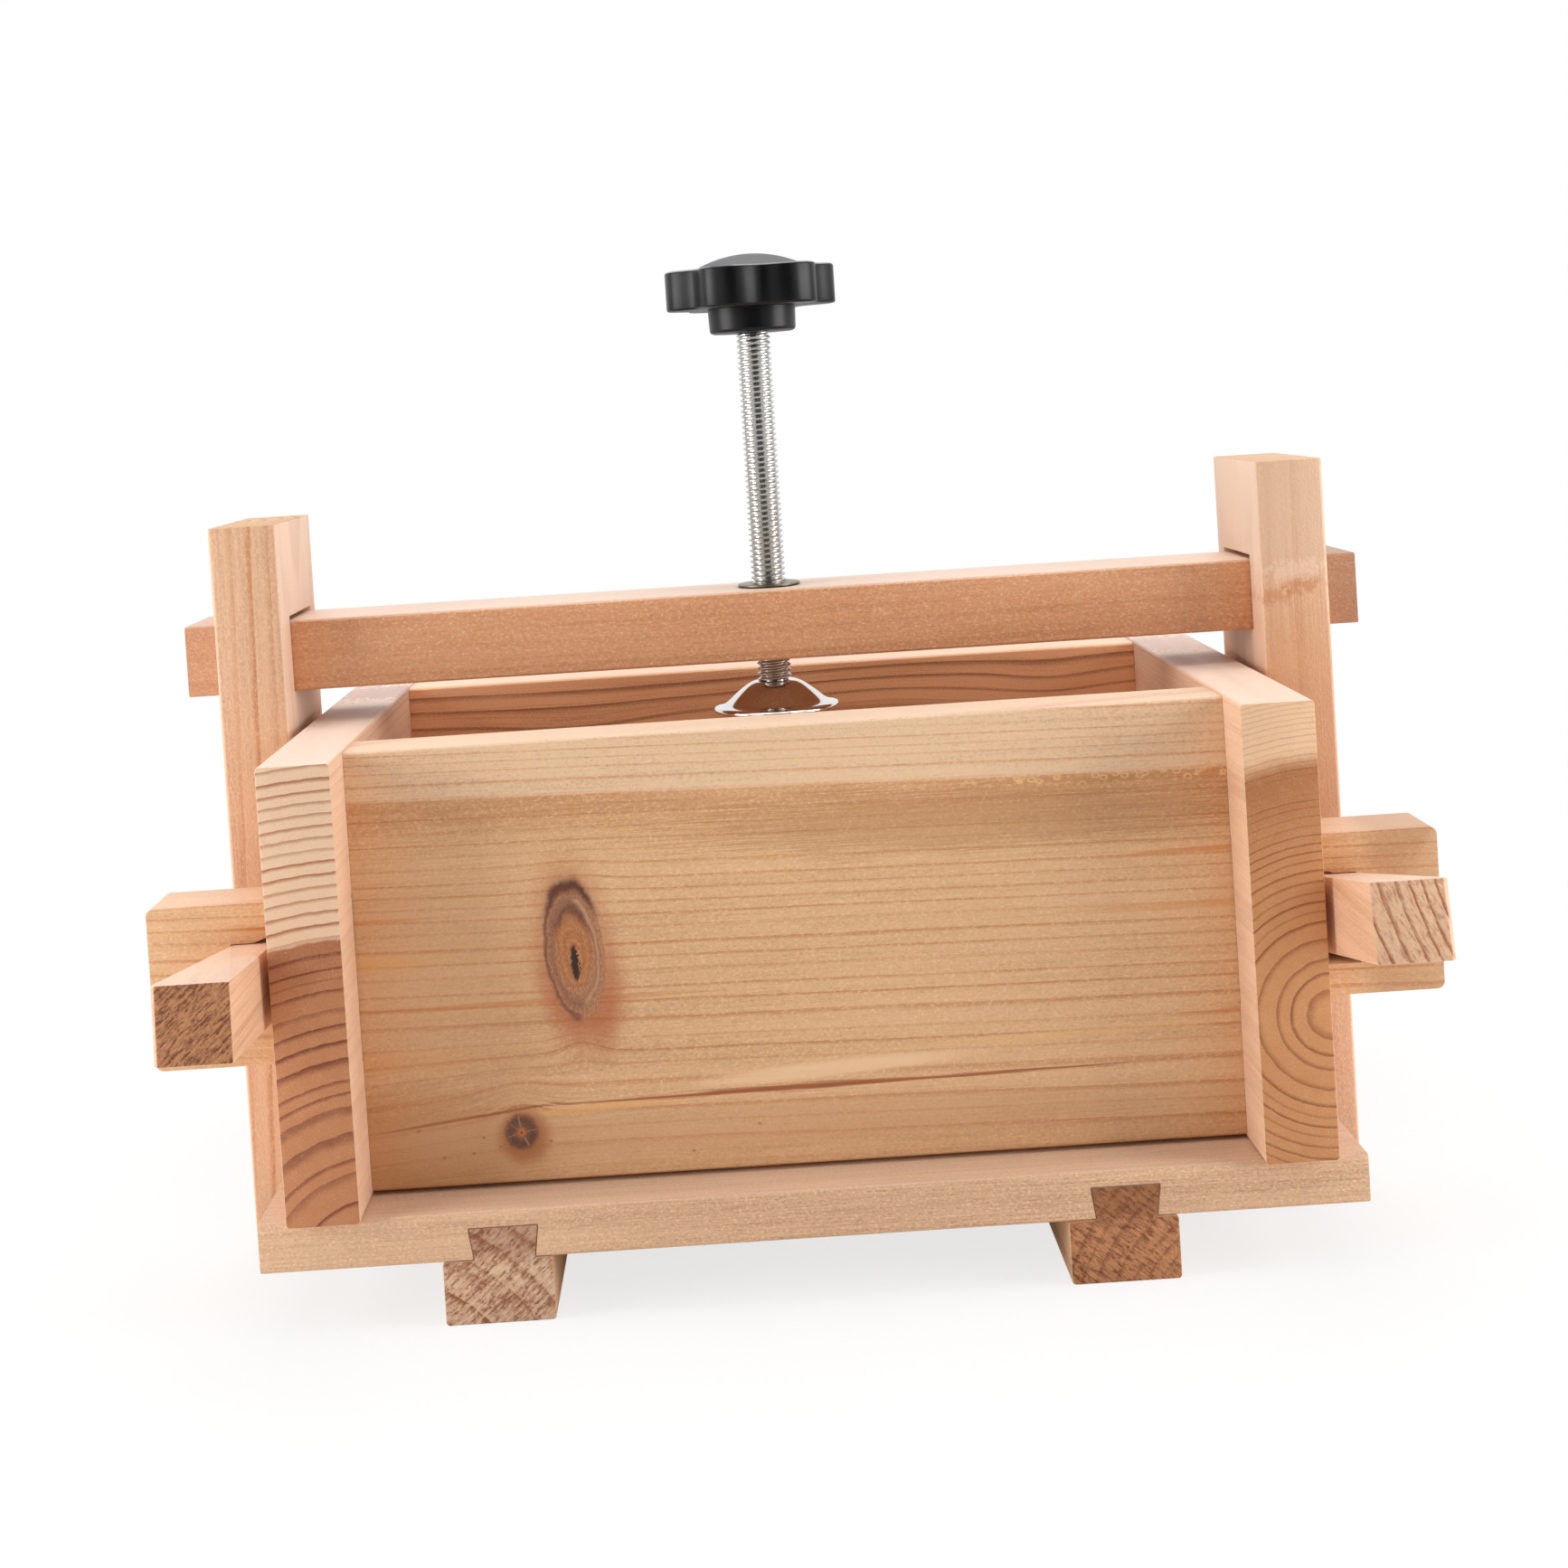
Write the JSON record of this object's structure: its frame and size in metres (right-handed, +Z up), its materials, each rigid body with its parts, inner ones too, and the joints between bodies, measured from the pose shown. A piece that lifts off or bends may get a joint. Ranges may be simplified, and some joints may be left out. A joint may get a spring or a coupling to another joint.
{
  "type": "wooden tofu press",
  "caption": "Wooden box for pressing tofu, wedged together and standing on a battened base, with a star-knob screw and swivel foot in a beam between two posts.",
  "frame": {"origin": "middle of the footprint, on the surface that the foot battens stand on", "axes": "+X to the right along the beam, +Y to the back, +Z up along the screw; the side with the wedge heads shown in the picture faces -Y"},
  "size_m": [0.269, 0.1944, 0.2172],
  "materials": {
    "base_wood": "planed bare softwood",
    "box_wood": "planed bare softwood",
    "wedge_wood": "bare softwood with rough sawn ends",
    "frame_wood": "planed bare softwood",
    "zinc_steel": "bright zinc plate",
    "foot_chrome": "polished",
    "knob_plastic": "gloss"
  },
  "bodies": {
    "frame": {"base_board": "base_wood", "foot_batten_left": "base_wood", "foot_batten_right": "base_wood", "post_left": "frame_wood", "post_right": "frame_wood"},
    "box": {"end_board_left": "box_wood", "end_board_right": "box_wood", "front_panel": "box_wood", "back_panel": "box_wood"},
    "lid": {"press_lid": "box_wood"},
    "wedge_front_left": {"wedge_front_left": "wedge_wood"},
    "wedge_front_right": {"wedge_front_right": "wedge_wood"},
    "wedge_back_left": {"wedge_back_left": "wedge_wood"},
    "wedge_back_right": {"wedge_back_right": "wedge_wood"},
    "beam": {"top_beam": "frame_wood", "insert_nut": "zinc_steel"},
    "foot": {"press_foot": "foot_chrome"},
    "screw": {"screw_rod": "zinc_steel", "knob": "knob_plastic", "knob_cap": "knob_plastic", "foot_washer": "zinc_steel"}
  },
  "joints": [
    {"name": "box_lift", "type": "slide", "parent": "frame", "child": "box", "axis": [0, 0, 1], "range_m": [0, 0.007]},
    {"name": "lid_lift", "type": "slide", "parent": "box", "child": "lid", "axis": [0, 0, 1], "range_m": [0, 0.07]},
    {"name": "wedge_front_left_pull", "type": "slide", "parent": "box", "child": "wedge_front_left", "axis": [0, -0.9971, 0.0767], "range_m": [0, 0.03]},
    {"name": "wedge_front_right_pull", "type": "slide", "parent": "box", "child": "wedge_front_right", "axis": [0, -0.9816, 0.1908], "range_m": [0, 0.03]},
    {"name": "wedge_back_left_pull", "type": "slide", "parent": "box", "child": "wedge_back_left", "axis": [0, 0.9971, 0.0767], "range_m": [0, 0.03]},
    {"name": "wedge_back_right_pull", "type": "slide", "parent": "box", "child": "wedge_back_right", "axis": [0, 0.9816, 0.1908], "range_m": [0, 0.03]},
    {"name": "beam_shift", "type": "slide", "parent": "frame", "child": "beam", "axis": [1, 0, 0], "range_m": [-0.012, 0.012]},
    {"name": "screw_feed", "type": "slide", "parent": "beam", "child": "foot", "axis": [0, 0, 1], "range_m": [-0.0574, 0.005]},
    {"name": "screw_turn", "type": "hinge", "parent": "foot", "child": "screw", "pos_m": [0, 0, 0.16], "axis": [0, 0, 1], "range_deg": [-16560, 1450]}
  ],
  "couplings": [
    {"joint": "screw_turn", "follows": "screw_feed", "rad_per_m": 5026.5}
  ]
}
